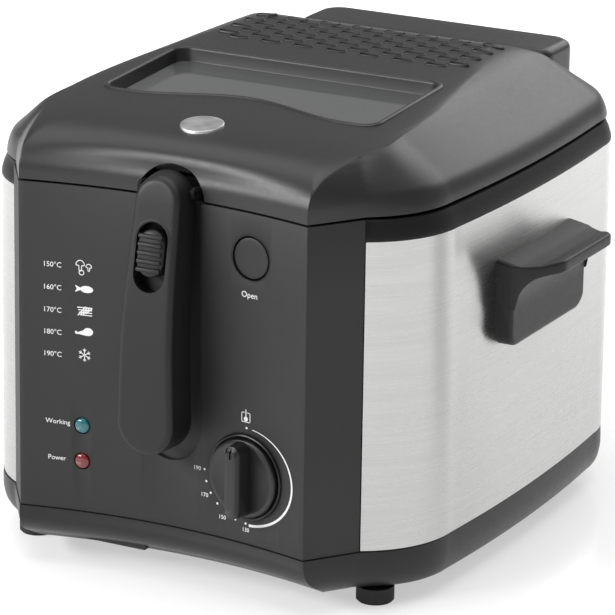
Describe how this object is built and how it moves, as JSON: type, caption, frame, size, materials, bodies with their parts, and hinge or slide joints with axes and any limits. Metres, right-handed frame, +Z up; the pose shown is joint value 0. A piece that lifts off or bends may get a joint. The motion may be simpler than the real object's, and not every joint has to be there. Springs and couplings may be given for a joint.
{
  "type": "deep fryer",
  "caption": "Household deep fryer with steel sides, hinged lid with window and vent grille, fold-out basket handle, lifting basket and temperature dial.",
  "frame": {"origin": "middle of the footprint box, on the surface the feet stand on", "axes": "+Z up, front of the fryer towards -Y, +X to the right seen from the front"},
  "size_m": [0.3304, 0.353, 0.2495],
  "materials": {
    "black_plastic": "fine matt moulded grain",
    "dark_plastic": "smooth matt",
    "handle_plastic": "satin moulded grain",
    "foot_rubber": "matt",
    "seal_rubber": "matt silicone",
    "brushed_sheet": "fine horizontal brushing",
    "pot_steel": "satin pressed",
    "fastener_steel": "turned",
    "element_metal": "oxidised tube",
    "pale_plastic": "plain",
    "board_plastic": "plain",
    "teal_lens": "translucent gloss",
    "red_lens": "translucent gloss",
    "window_glass": "clear, slightly grey",
    "filter_fleece": "fleece",
    "badge_metal": "satin",
    "basket_wire": "plated wire"
  },
  "bodies": {
    "housing": {"base_tray": "black_plastic", "rear_sill": "black_plastic", "feet": "foot_rubber", "front_fascia": "black_plastic", "steel_casing": "brushed_sheet", "top_rim": "black_plastic", "rear_housing": "black_plastic", "cord_inlet": "foot_rubber", "oil_pot": "pot_steel", "pot_posts": "dark_plastic", "heating_element": "element_metal", "heat_shield": "pot_steel", "shield_posts": "pot_steel", "thermostat": "element_metal", "thermal_cutout": "element_metal", "terminal_block": "pale_plastic", "lamp_board": "board_plastic", "lamp_working": "teal_lens", "lamp_power": "red_lens", "dial_ring_trim": "dark_plastic", "button_ring": "dark_plastic", "button_guide": "dark_plastic", "latch_guide": "dark_plastic", "grip_bracket": "dark_plastic", "grip_pin": "fastener_steel", "side_handle_right": "handle_plastic", "side_handle_left": "handle_plastic", "side_handle_screws": "fastener_steel", "hinge_lugs": "black_plastic", "hinge_pin": "fastener_steel", "base_screws": "fastener_steel"},
    "lid": {"lid_shell": "black_plastic", "lid_knuckles": "black_plastic", "lid_window": "window_glass", "window_frame": "black_plastic", "lid_liner": "pot_steel", "liner_skirt": "pot_steel", "lid_seal": "seal_rubber", "lid_filter": "filter_fleece", "filter_tray": "dark_plastic", "lid_badge": "badge_metal", "lid_catch": "dark_plastic", "liner_screws": "fastener_steel"},
    "handle": {"grip_shell": "handle_plastic", "grip_back": "handle_plastic", "grip_screws": "fastener_steel"},
    "slider": {"thumb_slider": "dark_plastic"},
    "dial": {"dial_knob": "handle_plastic", "dial_shaft": "fastener_steel"},
    "button": {"open_button": "black_plastic"},
    "latch": {"latch_hook": "dark_plastic"},
    "basket": {"basket_frame": "basket_wire", "basket_bars": "basket_wire", "basket_bracket": "basket_wire"}
  },
  "joints": [
    {"name": "lid_hinge", "type": "hinge", "parent": "housing", "child": "lid", "pos_m": [0, 0.1245, 0.233], "axis": [-1, 0, 0], "range_deg": [0, 80]},
    {"name": "handle_hinge", "type": "hinge", "parent": "housing", "child": "handle", "pos_m": [0, -0.1527, 0.2156], "axis": [-1, 0, 0], "range_deg": [0, 90]},
    {"name": "basket_lift", "type": "slide", "parent": "housing", "child": "basket", "axis": [0, 0, 1], "range_m": [0, 0.03]},
    {"name": "slider_slide", "type": "slide", "parent": "handle", "child": "slider", "axis": [0, -0.1788, -0.9839], "range_m": [0, 0.007], "stiffness_N_per_m": 300, "springref_m": -0.002},
    {"name": "dial_turn", "type": "hinge", "parent": "housing", "child": "dial", "pos_m": [0.0467, -0.1529, 0.0697], "axis": [0.1441, 0.9896, 0], "range_deg": [0, 267]},
    {"name": "button_press", "type": "slide", "parent": "housing", "child": "button", "axis": [0.1495, 0.9888, 0], "range_m": [0, 0.003], "stiffness_N_per_m": 600, "springref_m": -0.001},
    {"name": "latch_slide", "type": "slide", "parent": "housing", "child": "latch", "axis": [0.1495, 0.9888, 0], "range_m": [0, 0.003]}
  ],
  "couplings": [
    {"joint": "basket_lift", "follows": "handle_hinge", "m_per_rad": 0.019099},
    {"joint": "latch_slide", "follows": "button_press", "ratio": 1}
  ]
}
